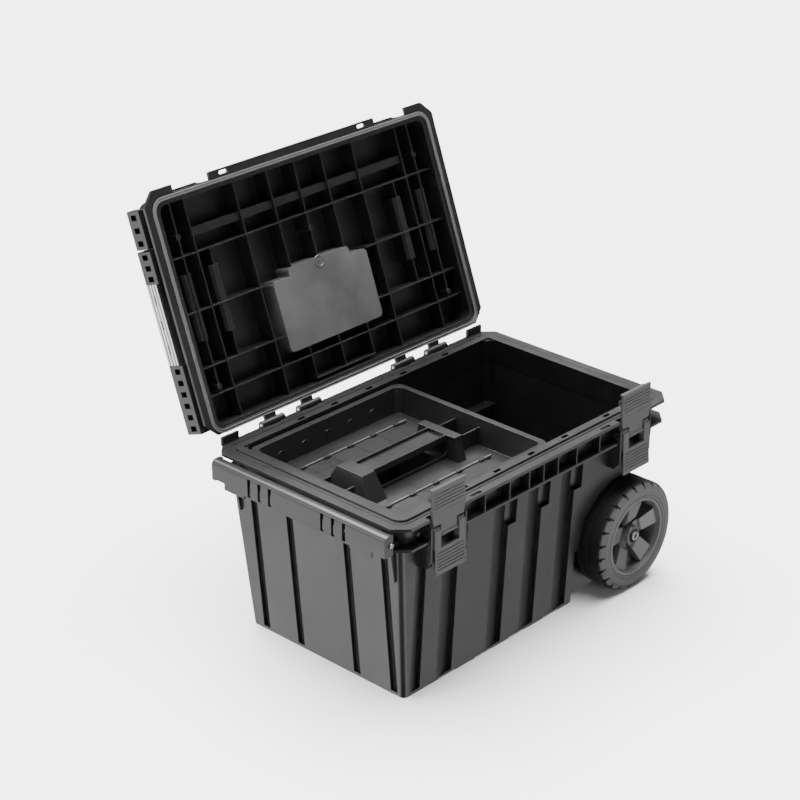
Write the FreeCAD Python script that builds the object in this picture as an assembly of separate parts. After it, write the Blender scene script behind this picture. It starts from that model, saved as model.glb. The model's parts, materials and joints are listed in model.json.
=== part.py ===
"""Rolling tool chest: a moulded tub with two wheels, a hinged lid, two draw latches,
a lift-out tray and a pull bar. Millimetres, +Z up, +X along the long side towards the
wheels, -Y towards the latches. The origin is the centre of the tub's flat underside.
The lid is drawn closed and then turned open about its hinge axis."""
import FreeCAD, Part
import math
import os

V = FreeCAD.Vector

# ---- driving dimensions: tub -------------------------------------------------
rim_half_x = 300.0         # half length over the upper flange
rim_half_y = 187.5         # half depth over the upper flange
rim_z = 294.0              # top of the upper flange
foot_in_x = 40.0           # how far the underside stands in from the rim at each end
foot_in_y = 32.5           # the same at the front and the back
lean_x = 22.7              # how far an end wall leans out between foot and lower flange
lean_y = 14.8              # the same for a long wall
wall = 3.0                 # moulded wall
floor_thick = 4.0
neck_r = 24.0              # corners of the neck above the lower flange
corner_r = 8.0             # corners of the body below it
relief = 8.0               # depth of the recesses between the pilasters
foot_lip = 5.0             # plain band left at the foot of every recess
flange_gap = 38.0          # from the lower flange up to the top of the upper one
rim_chamfer = 20.0
rim_thick = 5.0
mouth_in = 32.0            # from the rim's edge in to the clear opening
ridge_w = 12.5             # raised sealing ridge round the mouth
ridge_h = 3.0
seal_in = 14.0             # from the rim's edge in to the gasket's line
ledge_drop = 10.0          # from the rim down to the ledge that carries the tray
tray_ledge_w = 8.0

# ---- driving dimensions: wheels ----------------------------------------------
wheel_r = 88.0
wheel_w = 58.0
wheel_past_rim = 2.0       # how far the tyres reach past the right-hand rim
wheel_lift = 0.5           # air under the tyres while the tub stands on its base
wheel_past_side = 11.5     # how far the tyres stand out past the long rims
wheel_gap = 3.0            # running gap between the tyre and the tub
axle_r = 6.0
tyre_depth = 25.0          # rubber from tread to wheel
hub_r = 19.0
spokes = 5
tread_lugs = 18
run_clear = 0.05           # radial clearance of a shaft in its bore

# ---- driving dimensions: lid and hinge ---------------------------------------
hinge_r = 5.5
hinge_pin_r = 2.5
hinge_out = 0.5            # hinge axis past the back rim
hinge_up = 2.0             # hinge axis above the rim
open_angle = 110.0
lid_lap = 1.5              # how far the lid's front edge laps past the rim
lid_back_in = 11.5         # how far the lid's back edge stands in
lid_flange = 5.0           # thickness of the lid's flange
lid_height = 48.0          # from the rim to the top of the closed lid
lid_skin = 4.0
lid_wall_in = 15.0         # from the lid's edge in to its upright wall
lid_wall_t = 10.0          # depth of the double wall at the ends
lid_rib_t = 2.2
lid_rib_up = 13.0          # free edges of the lid's ribs above the rim
gasket_w = 6.0

# ---- driving dimensions: latches ---------------------------------------------
latch_in = 92.5            # latch middle from the rim's end
latch_half_w = 33.0
latch_gap = 2.5            # side clearance of the notch in both rims
latch_plate = 4.5
latch_pin_r = 2.0
lever_drop = 20.0          # lever pivot below the rim
hook_drop = 29.0           # hook pivot below the rim
hook_rise = 43.0           # top of the hook above the rim
lever_fall = 88.0          # lower end of the lever below the rim
catch_out = 6.1            # how far the lid's catch stands out of the lid wall

# ---- driving dimensions: pull bar --------------------------------------------
bar_axis_out = 4.0         # bar axis past the left rim
bar_axis_drop = 22.0       # bar axis below the rim
bar_out = 16.0             # outer face of the bar past the left rim
bar_in_y = 16.0            # ends of the bar in from the long rims
bar_drop = 6.5             # top of the bar below the rim
bar_skin = 4.0
bar_screw_r = 2.5

# ---- driving dimensions: tray ------------------------------------------------
tray_length = 318.5
tray_slack = 3.5           # end play of the tray in the mouth
tray_slack_y = 3.0
tray_rim_drop = 3.0        # tray's rim below the tub's rim
tray_depth = 43.0
tray_wall = 2.5
tray_step = 7.0            # how far the pan stands in from its rim
tray_float = 0.3           # air between the tray's rim and its ledge

# ---- sizes that follow from the driving ones -----------------------------------
unit_x = rim_half_x / 300.0     # spreads repeated features along the length
unit_y = rim_half_y / 187.5     # and across the depth
base_half_x = rim_half_x - foot_in_x
base_half_y = rim_half_y - foot_in_y
low_flange_z = rim_z - flange_gap
draft = lean_x / low_flange_z
draft_y = lean_y / low_flange_z
mouth_half_x = rim_half_x - mouth_in
mouth_half_y = rim_half_y - mouth_in
seal_half_x = rim_half_x - seal_in
seal_half_y = rim_half_y - seal_in
tray_ledge_z = rim_z - ledge_drop
rim_in_x = mouth_half_x + ridge_w
rim_in_y = mouth_half_y + ridge_w
wheel_x = rim_half_x + wheel_past_rim - wheel_r
wheel_z = wheel_r + wheel_lift
wheel_face_y = rim_half_y + wheel_past_side
wheel_back_y = wheel_face_y - wheel_w
rim_r = wheel_r - tyre_depth    # radius where the tyre sits on the wheel
hinge_y = rim_half_y + hinge_out
hinge_z = rim_z + hinge_up
lid_front_y = -rim_half_y - lid_lap
lid_back_y = rim_half_y - lid_back_in
lid_half_x = rim_half_x
lid_top_z = rim_z + lid_height
lid_wall_half_x = rim_half_x - lid_wall_in
lid_wall_half_y = rim_half_y - lid_wall_in
lid_cavity_half_x = lid_wall_half_x - lid_wall_t
lid_cavity_half_y = lid_wall_half_y - lid_wall_t + 1.5
lid_rib_z = rim_z + lid_rib_up
latch_x = rim_half_x - latch_in
lever_pivot = (-rim_half_y + 1.5, rim_z - lever_drop)
hook_pivot = (-rim_half_y - 0.5, rim_z - hook_drop)
hook_top_z = rim_z + hook_rise
lever_end_z = max(rim_z - lever_fall, 2 * wheel_r + 7.0)   # the right-hand lever hangs clear of the tyre
catch_y = -lid_wall_half_y - catch_out   # front edge of the lid's catch
lip_y = catch_y - 1.0                    # tip of the hook's lip while the latch stands open
bar_axis_x = -rim_half_x - bar_axis_out
bar_axis_z = rim_z - bar_axis_drop
bar_out_x = -rim_half_x - bar_out
bar_in_x = -rim_half_x - 2.2             # inner edge of the bar, just clear of the rim
bar_half_y = rim_half_y - bar_in_y
bar_top_z = rim_z - bar_drop
tray_x0 = -mouth_half_x + tray_slack
tray_x1 = tray_x0 + tray_length
tray_half_y = mouth_half_y - tray_slack_y
tray_rim_z = rim_z - tray_rim_drop


# ---- small shape makers ------------------------------------------------------
def box(x0, x1, y0, y1, z0, z1):
    return Part.makeBox(x1 - x0, y1 - y0, z1 - z0, V(x0, y0, z0))


def rod(start, axis, radius, length):
    return Part.makeCylinder(radius, length, V(*start), V(*axis))


def prism(points, sweep):
    """A straight-sided solid swept from a closed outline."""
    corners = [V(*p) for p in points]
    return Part.Face(Part.makePolygon(corners + corners[:1])).extrude(V(*sweep))


def round_rect(x0, x1, y0, y1, r, z):
    """A closed rectangle with round corners in the plane at height z."""
    q = r * (1 - math.sqrt(0.5))
    arcs = [((x1 - r, y0), (x1 - q, y0 + q), (x1, y0 + r)),
            ((x1, y1 - r), (x1 - q, y1 - q), (x1 - r, y1)),
            ((x0 + r, y1), (x0 + q, y1 - q), (x0, y1 - r)),
            ((x0, y0 + r), (x0 + q, y0 + q), (x0 + r, y0))]
    edges = []
    for i, arc in enumerate(arcs):
        a, m, b = (V(p[0], p[1], z) for p in arc)
        edges.append(Part.Arc(a, m, b).toShape())
        nxt = arcs[(i + 1) % 4][0]
        edges.append(Part.makeLine(b, V(nxt[0], nxt[1], z)))
    return Part.Wire(edges)


def plate(x0, x1, y0, y1, r, z0, z1):
    return Part.Face(round_rect(x0, x1, y0, y1, r, z0)).extrude(V(0, 0, z1 - z0))


def drafted(low, high, r, z0, z1):
    """A block with flat leaning sides and rolled upright corners; low and high are (x0, x1, y0, y1)."""
    rings = []
    for (x0, x1, y0, y1), z in ((low, z0), (high, z1)):
        rings.append([V(x0, y0, z), V(x1, y0, z), V(x1, y1, z), V(x0, y1, z)])
    loops = [rings[0][::-1], rings[1]]
    for i in range(4):
        k = (i + 1) % 4
        loops.append([rings[0][i], rings[0][k], rings[1][k], rings[1][i]])
    block = Part.Solid(Part.Shell([Part.Face(Part.makePolygon(p + p[:1])) for p in loops]))
    middle = (z0 + z1) / 2
    return block.makeFillet(r, [e for e in block.Edges if abs(e.CenterOfMass.z - middle) < 0.01])


def frame_ring(hx, hy, width, r, z0, z1):
    """A flat ring whose outer half sizes are hx and hy."""
    outer = plate(-hx, hx, -hy, hy, r, z0, z1)
    inner = plate(-hx + width, hx - width, -hy + width, hy - width, max(r - width, 2.0), z0 - 1, z1 + 1)
    return outer.cut(inner)


def chamfered(x0, x1, y0, y1, c, z0, z1):
    pts = [(x0 + c, y0), (x1 - c, y0), (x1, y0 + c), (x1, y1 - c), (x1 - c, y1), (x0 + c, y1),
           (x0, y1 - c), (x0, y0 + c)]
    return prism([(x, y, z0) for x, y in pts], (0, 0, z1 - z0))


def mirror_x(shape):
    return shape.mirror(V(0, 0, 0), V(1, 0, 0))


def mirror_y(shape):
    return shape.mirror(V(0, 0, 0), V(0, 1, 0))


def opened(shape):
    """Turns a piece of the closed lid to its open rest place."""
    shape = shape.copy()
    shape.rotate(V(0, hinge_y, hinge_z), V(1, 0, 0), -open_angle)
    return shape


def save(name, *shapes):
    solids = [s for shape in shapes for s in shape.Solids]
    shape = solids[0] if len(solids) == 1 else Part.makeCompound(solids)
    shape.exportStep("parts/%s.step" % name)
    print(name, len(solids), round(sum(s.Volume for s in solids) / 1000, 1), all(s.isValid() for s in solids))


os.makedirs("parts", exist_ok=True)


# ---- tub: one moulding -------------------------------------------------------
def tub_block(z0, z1):
    """The drafted outer form of the tub."""
    sizes = []
    for z in (z0, z1):
        hx = base_half_x + draft * z
        hy = base_half_y + draft_y * z
        sizes.append((-hx, hx, -hy, hy))
    return drafted(sizes[0], sizes[1], corner_r, z0, z1)


def tub_inside():
    """The drafted space inside the tub, which meets the mouth without a step."""
    hx = base_half_x + draft * floor_thick - relief - wall
    hy = base_half_y + draft_y * floor_thick - relief - wall
    low = (-hx, hx, -hy, hy)
    grow = 0.4
    high = (-mouth_half_x - grow, mouth_half_x + grow, -mouth_half_y - grow, mouth_half_y + grow)
    return drafted(low, high, 14.0, floor_thick, low_flange_z + 2)


# left edge of each pilaster on the long walls; the first one is the corner
pilasters = [x * unit_x for x in (-258.0, -228.0, -161.0, -54.0, 20.0, 95.0)]
ramp = 38.0                # longest run over which a pilaster rolls away into its recess
corner_flat = 7.0          # flat left on the narrowest pilaster
notch_w = 17.0             # the recesses widen by this just under the flange
notch_z = low_flange_z - 53.0
end_grooves = [y * unit_y for y in (130.0, 57.0, -57.0, -130.0)]
end_groove_w = 13.0
end_groove_d = 5.0
cut_len = low_flange_z + 30.0


def leaned(shape, x_axis, edge):
    """Leans an upright cutter with the wall whose foot line passes through edge."""
    angle = math.degrees(math.atan(draft_y if x_axis else draft))
    shape.rotate(V(*edge), V(1, 0, 0) if x_axis else V(0, 1, 0), angle if x_axis else -angle)
    return shape


def upright(edges):
    return Part.Face(Part.Wire(edges)).extrude(V(0, 0, cut_len))


def long_wall_cuts():
    """Recesses of the front wall: each rolls in from a pilaster and ends square at the next."""
    cuts = []
    face = -base_half_y
    z = foot_lip
    for left, nxt in zip(pilasters[:-1], pilasters[1:]):
        run = min(ramp, nxt - left - corner_flat)
        start = nxt - run
        a = V(start, face, z)
        b = V(nxt, face + relief, z)
        mid = V(start + 0.6 * run, face + 0.31 * relief, z)
        out = [b, V(nxt, face - 16, z), V(start - 3, face - 16, z), V(start - 3, face - 0.01, z), a]
        wire = [Part.Arc(a, mid, b).toShape()] + [Part.makeLine(p, q) for p, q in zip(out[:-1], out[1:])]
        cuts.append(leaned(upright(wire), True, (0, face, 0)))
        notch = box(nxt - 1, nxt + notch_w, face - 9, face + relief, notch_z, cut_len)
        cuts.append(leaned(notch, True, (0, face, 0)))
    return cuts


def end_wall_cuts():
    """Upright grooves of the left end wall, square on one side and curved on the other."""
    cuts = []
    face = -base_half_x
    z = foot_lip
    for y in end_grooves:
        a = V(face, y - end_groove_w, z)
        b = V(face + end_groove_d, y - end_groove_w / 3, z)
        mid = V(face + 0.7 * end_groove_d, y - 0.7 * end_groove_w, z)
        out = [b, V(face + end_groove_d, y, z), V(face - 16, y, z), V(face - 16, y - end_groove_w - 2, z),
               V(face - 0.01, y - end_groove_w - 2, z), a]
        wire = [Part.Arc(a, mid, b).toShape()] + [Part.makeLine(p, q) for p, q in zip(out[:-1], out[1:])]
        cuts.append(leaned(upright(wire), False, (face, 0, 0)))
    return cuts


pad_gap = [x * unit_x for x in (-187.0, -110.0, -35.0, 45.0)]   # where the foot is cut away between its pads
pad_gap_w = 36.0
pad_h = 3.0


def foot_gaps():
    """Shallow cut-outs under the long walls that leave standing pads between them."""
    out = []
    for x in pad_gap:
        for s in (-1, 1):
            y0, y1 = sorted((s * (base_half_y - 12), s * (base_half_y + 12)))
            out.append(box(x, x + pad_gap_w, y0, y1, -1, pad_h))
    return out


def corner_ribs():
    """Upright ribs that stiffen the lower flange at the two corners under the pull bar."""
    out = []
    top = low_flange_z + 1
    face = base_half_x + lean_x
    for s in (-1, 1):
        y = s * (base_half_y - 1.0)
        outline = [(-12, -58), (-1.5, -58), (6, -8), (6, 0), (-12, 0)]
        out.append(prism([(-face - a, y - 2.5, top + b) for a, b in outline], (0, 5, 0)))
    return out


def wheel_well(grow):
    """The space that one wheel and its running gap take out of the tub's corner."""
    inner_y = -(wheel_back_y - wheel_gap) + grow
    r = wheel_r + 9.0 + grow
    depth = 90.0
    arch = rod((wheel_x, inner_y - depth, wheel_z), (0, 1, 0), r, depth)
    low = box(wheel_x - r - 7.0, wheel_x + 120, inner_y - depth, inner_y, -5, wheel_z)
    high = box(wheel_x, wheel_x + 120, inner_y - depth, inner_y, wheel_z - 1, wheel_z + r)
    return arch.fuse([low, high])


tunnel_half = axle_r + 3.0
tunnel_top = wheel_z + axle_r + 3.5
well_wall_y = wheel_back_y - wheel_gap   # outer side of each wheel well's inner wall


def axle_tunnel(grow):
    half_y = well_wall_y - wall + grow
    return box(wheel_x - tunnel_half - grow, wheel_x + tunnel_half + grow, -half_y, half_y, -5,
               tunnel_top + grow)


rib_xs = [x * unit_x for x in (0.0, -32.0, 32.0, -74.5, 74.5, -127.5, 127.5)]
end_rib_ys = [y * unit_y for y in (-130.0, -95.0, -45.0, 0.0, 45.0, 95.0, 130.0)]
ridge_holes = [x * unit_x for x in (-145.0, -75.0, 0.0, 75.0, 172.0)]
tongue_x = 144.0 * unit_x
notch_half = latch_half_w + latch_gap
cheek_t = 3.0
ear_groups = [x * unit_x for x in (-179.0, -103.0, 103.0, 179.0)]
ear_half = 22.5
lid_ear_half = 11.0
ear_side_gap = 0.3
lug_y1 = bar_half_y - 7.5  # lugs stand just inside the bar's ends
lug_y0 = lug_y1 - 6.0


def latch_cheeks(x):
    """Two upright cheeks that carry the latch pins, with the holes for them."""
    out = []
    for side in (-1, 1):
        x_in = x + side * (latch_half_w + 0.6)
        x_out = x_in + side * cheek_t
        lo, hi = min(x_in, x_out), max(x_in, x_out)
        front = -rim_half_y - 3.0
        root = front + 25.5
        under_rim = rim_z - rim_thick + 1
        foot_z = lever_end_z + 8
        profile = [(lo, root, foot_z), (lo, front + 10.5, foot_z), (lo, front, foot_z + 12),
                   (lo, front, rim_z - 14),
                   (lo, front + 4.5, under_rim), (lo, root, under_rim)]
        cheek = prism(profile, (hi - lo, 0, 0))
        out.append(cheek.cut(rod((lo - 1, lever_pivot[0], lever_pivot[1]), (1, 0, 0), latch_pin_r,
                                 cheek_t + 2)))
    return out


def hinge_ears():
    """Pairs of rim ears for each hinge group, bored for the pin."""
    out = []
    for x in ear_groups:
        for lo, hi in ((x - ear_half, x - lid_ear_half - ear_side_gap),
                       (x + lid_ear_half + ear_side_gap, x + ear_half)):
            ear = rod((lo, hinge_y, hinge_z), (1, 0, 0), hinge_r, hi - lo)
            ear = ear.fuse(box(lo, hi, rim_half_y - 8, hinge_y + hinge_r, rim_z - rim_thick, hinge_z - 1.5))
            out.append(ear)
    return out


lug_r = 7.5


def bar_lugs():
    out = []
    for s in (-1, 1):
        y0 = min(s * lug_y0, s * lug_y1)
        y1 = max(s * lug_y0, s * lug_y1)
        lug = box(bar_axis_x - lug_r, bar_axis_x + 12, y0, y1, low_flange_z, bar_axis_z)
        lug = lug.fuse(rod((bar_axis_x, y0, bar_axis_z), (0, 1, 0), lug_r, y1 - y0))
        lug = lug.fuse(box(bar_axis_x + 2, bar_axis_x + 24, y0, y1, low_flange_z, bar_axis_z - 4))
        out.append(lug.cut(rod((bar_axis_x, y0 - 1, bar_axis_z), (0, 1, 0), bar_screw_r + run_clear,
                               y1 - y0 + 2)))
    return out


def latch_notch(side, z0, z1):
    """The gap that one latch takes out of the front of a flange."""
    return box(side * latch_x - notch_half, side * latch_x + notch_half, -rim_half_y - 12.5,
               -rim_half_y + 9.5, z0, z1)


def make_tub():
    body = tub_block(0, low_flange_z + 2)
    body = body.cut(long_wall_cuts() + [mirror_y(c) for c in long_wall_cuts()])
    body = body.cut(end_wall_cuts() + [mirror_x(c) for c in end_wall_cuts()])
    body = body.cut([wheel_well(0), mirror_y(wheel_well(0))] + foot_gaps())
    neck_hx = base_half_x + draft * low_flange_z
    neck_hy = base_half_y + draft_y * low_flange_z
    neck = plate(-neck_hx, neck_hx, -neck_hy, neck_hy, neck_r, low_flange_z + 1, rim_z - 1)
    low = chamfered(-rim_half_x + 2, rim_half_x - 2, -rim_half_y + 1, rim_half_y - 1, rim_chamfer,
                    low_flange_z, low_flange_z + 4)
    top = chamfered(-rim_half_x, rim_half_x, -rim_half_y, rim_half_y, rim_chamfer, rim_z - rim_thick, rim_z)
    ridge = frame_ring(rim_in_x, rim_in_y, ridge_w, 16.0, rim_z - 1, rim_z + ridge_h)
    ribs = []
    for x in rib_xs:
        for s in (-1, 1):
            y0, y1 = sorted((s * (neck_hy - 3), s * (rim_half_y - 1.5)))
            ribs.append(box(x - 1.1, x + 1.1, y0, y1, low_flange_z + 2, rim_z - rim_thick + 1))
    for y in end_rib_ys:
        ribs.append(box(neck_hx - 3, rim_half_x - 3.5, y - 1.1, y + 1.1, low_flange_z + 2,
                        rim_z - rim_thick + 1))
    for side in (-1, 1):
        x0, x1 = sorted((side * 250.0 * unit_x, side * 283.0 * unit_x))
        ribs.append(box(x0, x1, hinge_y - 4.5, rim_half_y, rim_z - 1, hinge_z + 10))
    body = body.fuse([neck, low, top, ridge] + ribs + corner_ribs())
    neck_in = plate(-mouth_half_x, mouth_half_x, -mouth_half_y, mouth_half_y, 14.0, low_flange_z,
                    rim_z + ridge_h + 1)
    hollows = []
    for left, nxt in zip(pilasters[1:-1], pilasters[2:]):
        face = -base_half_y
        right = nxt - min(ramp, nxt - left - corner_flat)
        hollow = box(left + wall, right - wall, face + wall, face + relief + wall + 2, floor_thick + 0.6,
                     notch_z - 6)
        hollow = leaned(hollow, True, (0, face, 0))
        hollows += [hollow, mirror_y(hollow)]
    cavity = tub_inside().fuse([neck_in] + hollows)
    keep = [wheel_well(wall), mirror_y(wheel_well(wall)), axle_tunnel(wall)]
    cavity = cavity.cut(keep)
    body = body.cut(cavity)
    ledge = frame_ring(mouth_half_x + 5, mouth_half_y + 5, tray_ledge_w + 5, 14.0, tray_ledge_z - 3,
                       tray_ledge_z)
    ledge = ledge.cut(box(tray_x1 + 6, rim_half_x + 9, -rim_half_y, rim_half_y, 0, rim_z))
    body = body.fuse([ledge] + hinge_ears() + bar_lugs())
    trims = [axle_tunnel(0)]
    for s in (-1, 1):
        trims.append(latch_notch(s, lever_end_z - 6, rim_z + 6))
        trims.append(rod((wheel_x, s * well_wall_y - 6, wheel_z), (0, 1, 0), axle_r + run_clear, 12))
        for x in ridge_holes:
            y = s * (mouth_half_y + 6)
            trims.append(box(x - 7, x + 7, y - 2.8, y + 2.8, rim_z - 9, rim_z + ridge_h + 1))
    for x in (-tongue_x, tongue_x):
        trims.append(plate(x - 11, x + 11, -rim_half_y + 2.5, -rim_half_y + 8, 2.6, rim_z - rim_thick - 1,
                           rim_z + 1))
    for x in ear_groups:
        slot_half = lid_ear_half + ear_side_gap
        trims.append(box(x - slot_half, x + slot_half, hinge_y - hinge_r - 1.2, hinge_y + 12,
                         hinge_z - 16, hinge_z + 14))
        trims.append(rod((x - ear_half - 1, hinge_y, hinge_z), (1, 0, 0), hinge_pin_r + run_clear,
                         2 * ear_half + 2))
    body = body.cut(trims)
    groove = frame_ring(seal_half_x + 0.8, seal_half_y + 0.8, 1.6, 20.0, rim_z - 1.2, rim_z + 1)
    body = body.cut(groove)
    cheeks = latch_cheeks(-latch_x) + latch_cheeks(latch_x)
    return body.fuse(cheeks).removeSplitter()


tub = make_tub()
save("tub", tub)


# ---- axle with its washers and push-on caps -----------------------------------
hub_face_y = wheel_face_y - 9.0
axle_half = hub_face_y + 5.0
save("axle", rod((wheel_x, -axle_half, wheel_z), (0, 1, 0), axle_r, 2 * axle_half))


def washer(y0, thick, radius):
    disc = rod((wheel_x, y0, wheel_z), (0, 1, 0), radius, thick)
    return disc.cut(rod((wheel_x, y0 - 1, wheel_z), (0, 1, 0), axle_r, thick + 2))


save("axle_washers", washer(well_wall_y + 0.05, 1.5, 14.0), washer(-well_wall_y - 1.55, 1.5, 14.0))
axle_caps = []
for side in (-1, 1):
    start = side * (hub_face_y + 0.4)
    cap = rod((wheel_x, start, wheel_z), (0, side, 0), 10.0, 8.0)
    end_y = side * (hub_face_y + 8.4)
    cap = cap.makeChamfer(1.6, [e for e in cap.Edges if abs(e.CenterOfMass.y - end_y) < 0.01 and e.Closed])
    axle_caps.append(cap.cut(rod((wheel_x, start - side, wheel_z), (0, side, 0), axle_r,
                                 axle_half - abs(start) + 1)))
save("axle_caps", *axle_caps)


# ---- wheels -------------------------------------------------------------------
def turned(profile, y_face, side):
    """Revolves (radius, depth behind the outer face) points about a wheel's axle line."""
    pts = [V(wheel_x + r, side * (y_face - d), wheel_z) for r, d in profile]
    face = Part.Face(Part.makePolygon(pts + pts[:1]))
    return face.revolve(V(wheel_x, 0, wheel_z), V(0, 1, 0), 360)


lug_depth = 4.5            # depth of the slots between the tread's lugs


def make_tyre(side):
    w = wheel_w
    profile = [(rim_r + 0.05, 0), (wheel_r - 6, 0), (wheel_r, 8), (wheel_r, w - 8), (wheel_r - 6, w),
               (rim_r + 0.05, w)]
    tyre = turned(profile, wheel_face_y, side)
    cuts = []
    for i in range(tread_lugs):
        slot = box(wheel_x + wheel_r - lug_depth, wheel_x + wheel_r + 3, side * wheel_face_y - 15,
                   side * wheel_face_y + 15,
                   wheel_z - 1.6, wheel_z + 1.6)
        slot.rotate(V(wheel_x, 0, wheel_z), V(0, 1, 0), 360.0 * i / tread_lugs)
        cuts.append(slot)
    return tyre.cut(cuts)


def make_wheel(side):
    w = wheel_w
    barrel = turned([(rim_r, 1.0), (rim_r, w - 1.0), (rim_r - 5, w - 1.0), (rim_r - 5, 1.0)],
                    wheel_face_y, side)
    disc = turned([(hub_r - 2, 13), (rim_r - 4, 8), (rim_r - 4, 22), (hub_r - 2, 22)], wheel_face_y, side)
    bore_r = axle_r + run_clear
    hub = turned([(bore_r, 9.3), (hub_r, 9.3), (hub_r, w - 1.2), (bore_r, w - 1.2)], wheel_face_y, side)
    windows = []
    for i in range(spokes):
        mid = 360.0 / spokes * (i + 0.5)
        pts = []
        for r, a in ((hub_r + 5, -17), (rim_r - 6, -23), (rim_r - 6, 23), (hub_r + 5, 17)):
            t = math.radians(mid + a + 18)
            pts.append((wheel_x + r * math.cos(t), side * wheel_face_y + 2, wheel_z + r * math.sin(t)))
        if side > 0:
            windows.append(prism(pts, (0, -30, 0)))
        else:
            windows.append(prism([(x, -wheel_face_y - 2, z) for x, _, z in pts], (0, 30, 0)))
    return barrel.fuse([disc, hub]).cut(windows).removeSplitter()


for label, side in (("front", -1), ("back", 1)):
    save("tyre_" + label, make_tyre(side))
    save("wheel_" + label, make_wheel(side))


# ---- lid: drawn closed, saved open --------------------------------------------
def lid_s(s):
    """Depth coordinate of a line s millimetres in front of the hinge axis."""
    return hinge_y - s


pan_x = 99.0 * unit_x
pan_s0 = 80.0 * unit_y
pan_s1 = 190.0 * unit_y
pan_tab_x = 64.0 * unit_x
pan_tab_s = pan_s1 + 13.0
pan_t = 2.5


def pan_outline(grow, z0, z1):
    """The well's outline: a rectangle with a shallow tab towards the front."""
    main = plate(-pan_x - grow, pan_x + grow, lid_s(pan_s1) - grow, lid_s(pan_s0) + grow, 8.0 + grow, z0, z1)
    tab = plate(-pan_tab_x - grow, pan_tab_x + grow, lid_s(pan_tab_s) - grow, lid_s(pan_s0 + 40),
                6.0 + grow, z0, z1)
    return main.fuse(tab)


# ribs that run from hinge to front: x, first and last distance from the hinge axis
rib_end_s = hinge_y + lid_cavity_half_y
rib_start_s = hinge_y - lid_cavity_half_y - 2
boss_x = 248.0 * unit_x
boss_s = [76.0 * unit_y, 301.0 * unit_y]
cross_s = [66.0 * unit_y, 108.0 * unit_y, 272.0 * unit_y]
lid_long_ribs = [(boss_x, boss_s[0], rib_end_s), (221 * unit_x, rib_start_s, rib_end_s),
                 (124 * unit_x, rib_start_s, rib_end_s),
                 (57 * unit_x, pan_tab_s, rib_end_s), (62 * unit_x, rib_start_s + 6, pan_s0)]
slot_half = 9.5            # half width of the deep slots sunk into the lid's top
slot_s = (146.0 * unit_y, 246.0 * unit_y)
slot_x = (194.0 * unit_x, boss_x)
slot_wall = 2.2
rib_hi = lid_top_z - lid_skin + 1
catch_z = rim_z + 28.0     # underside of the catch that the hook pulls on


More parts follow.
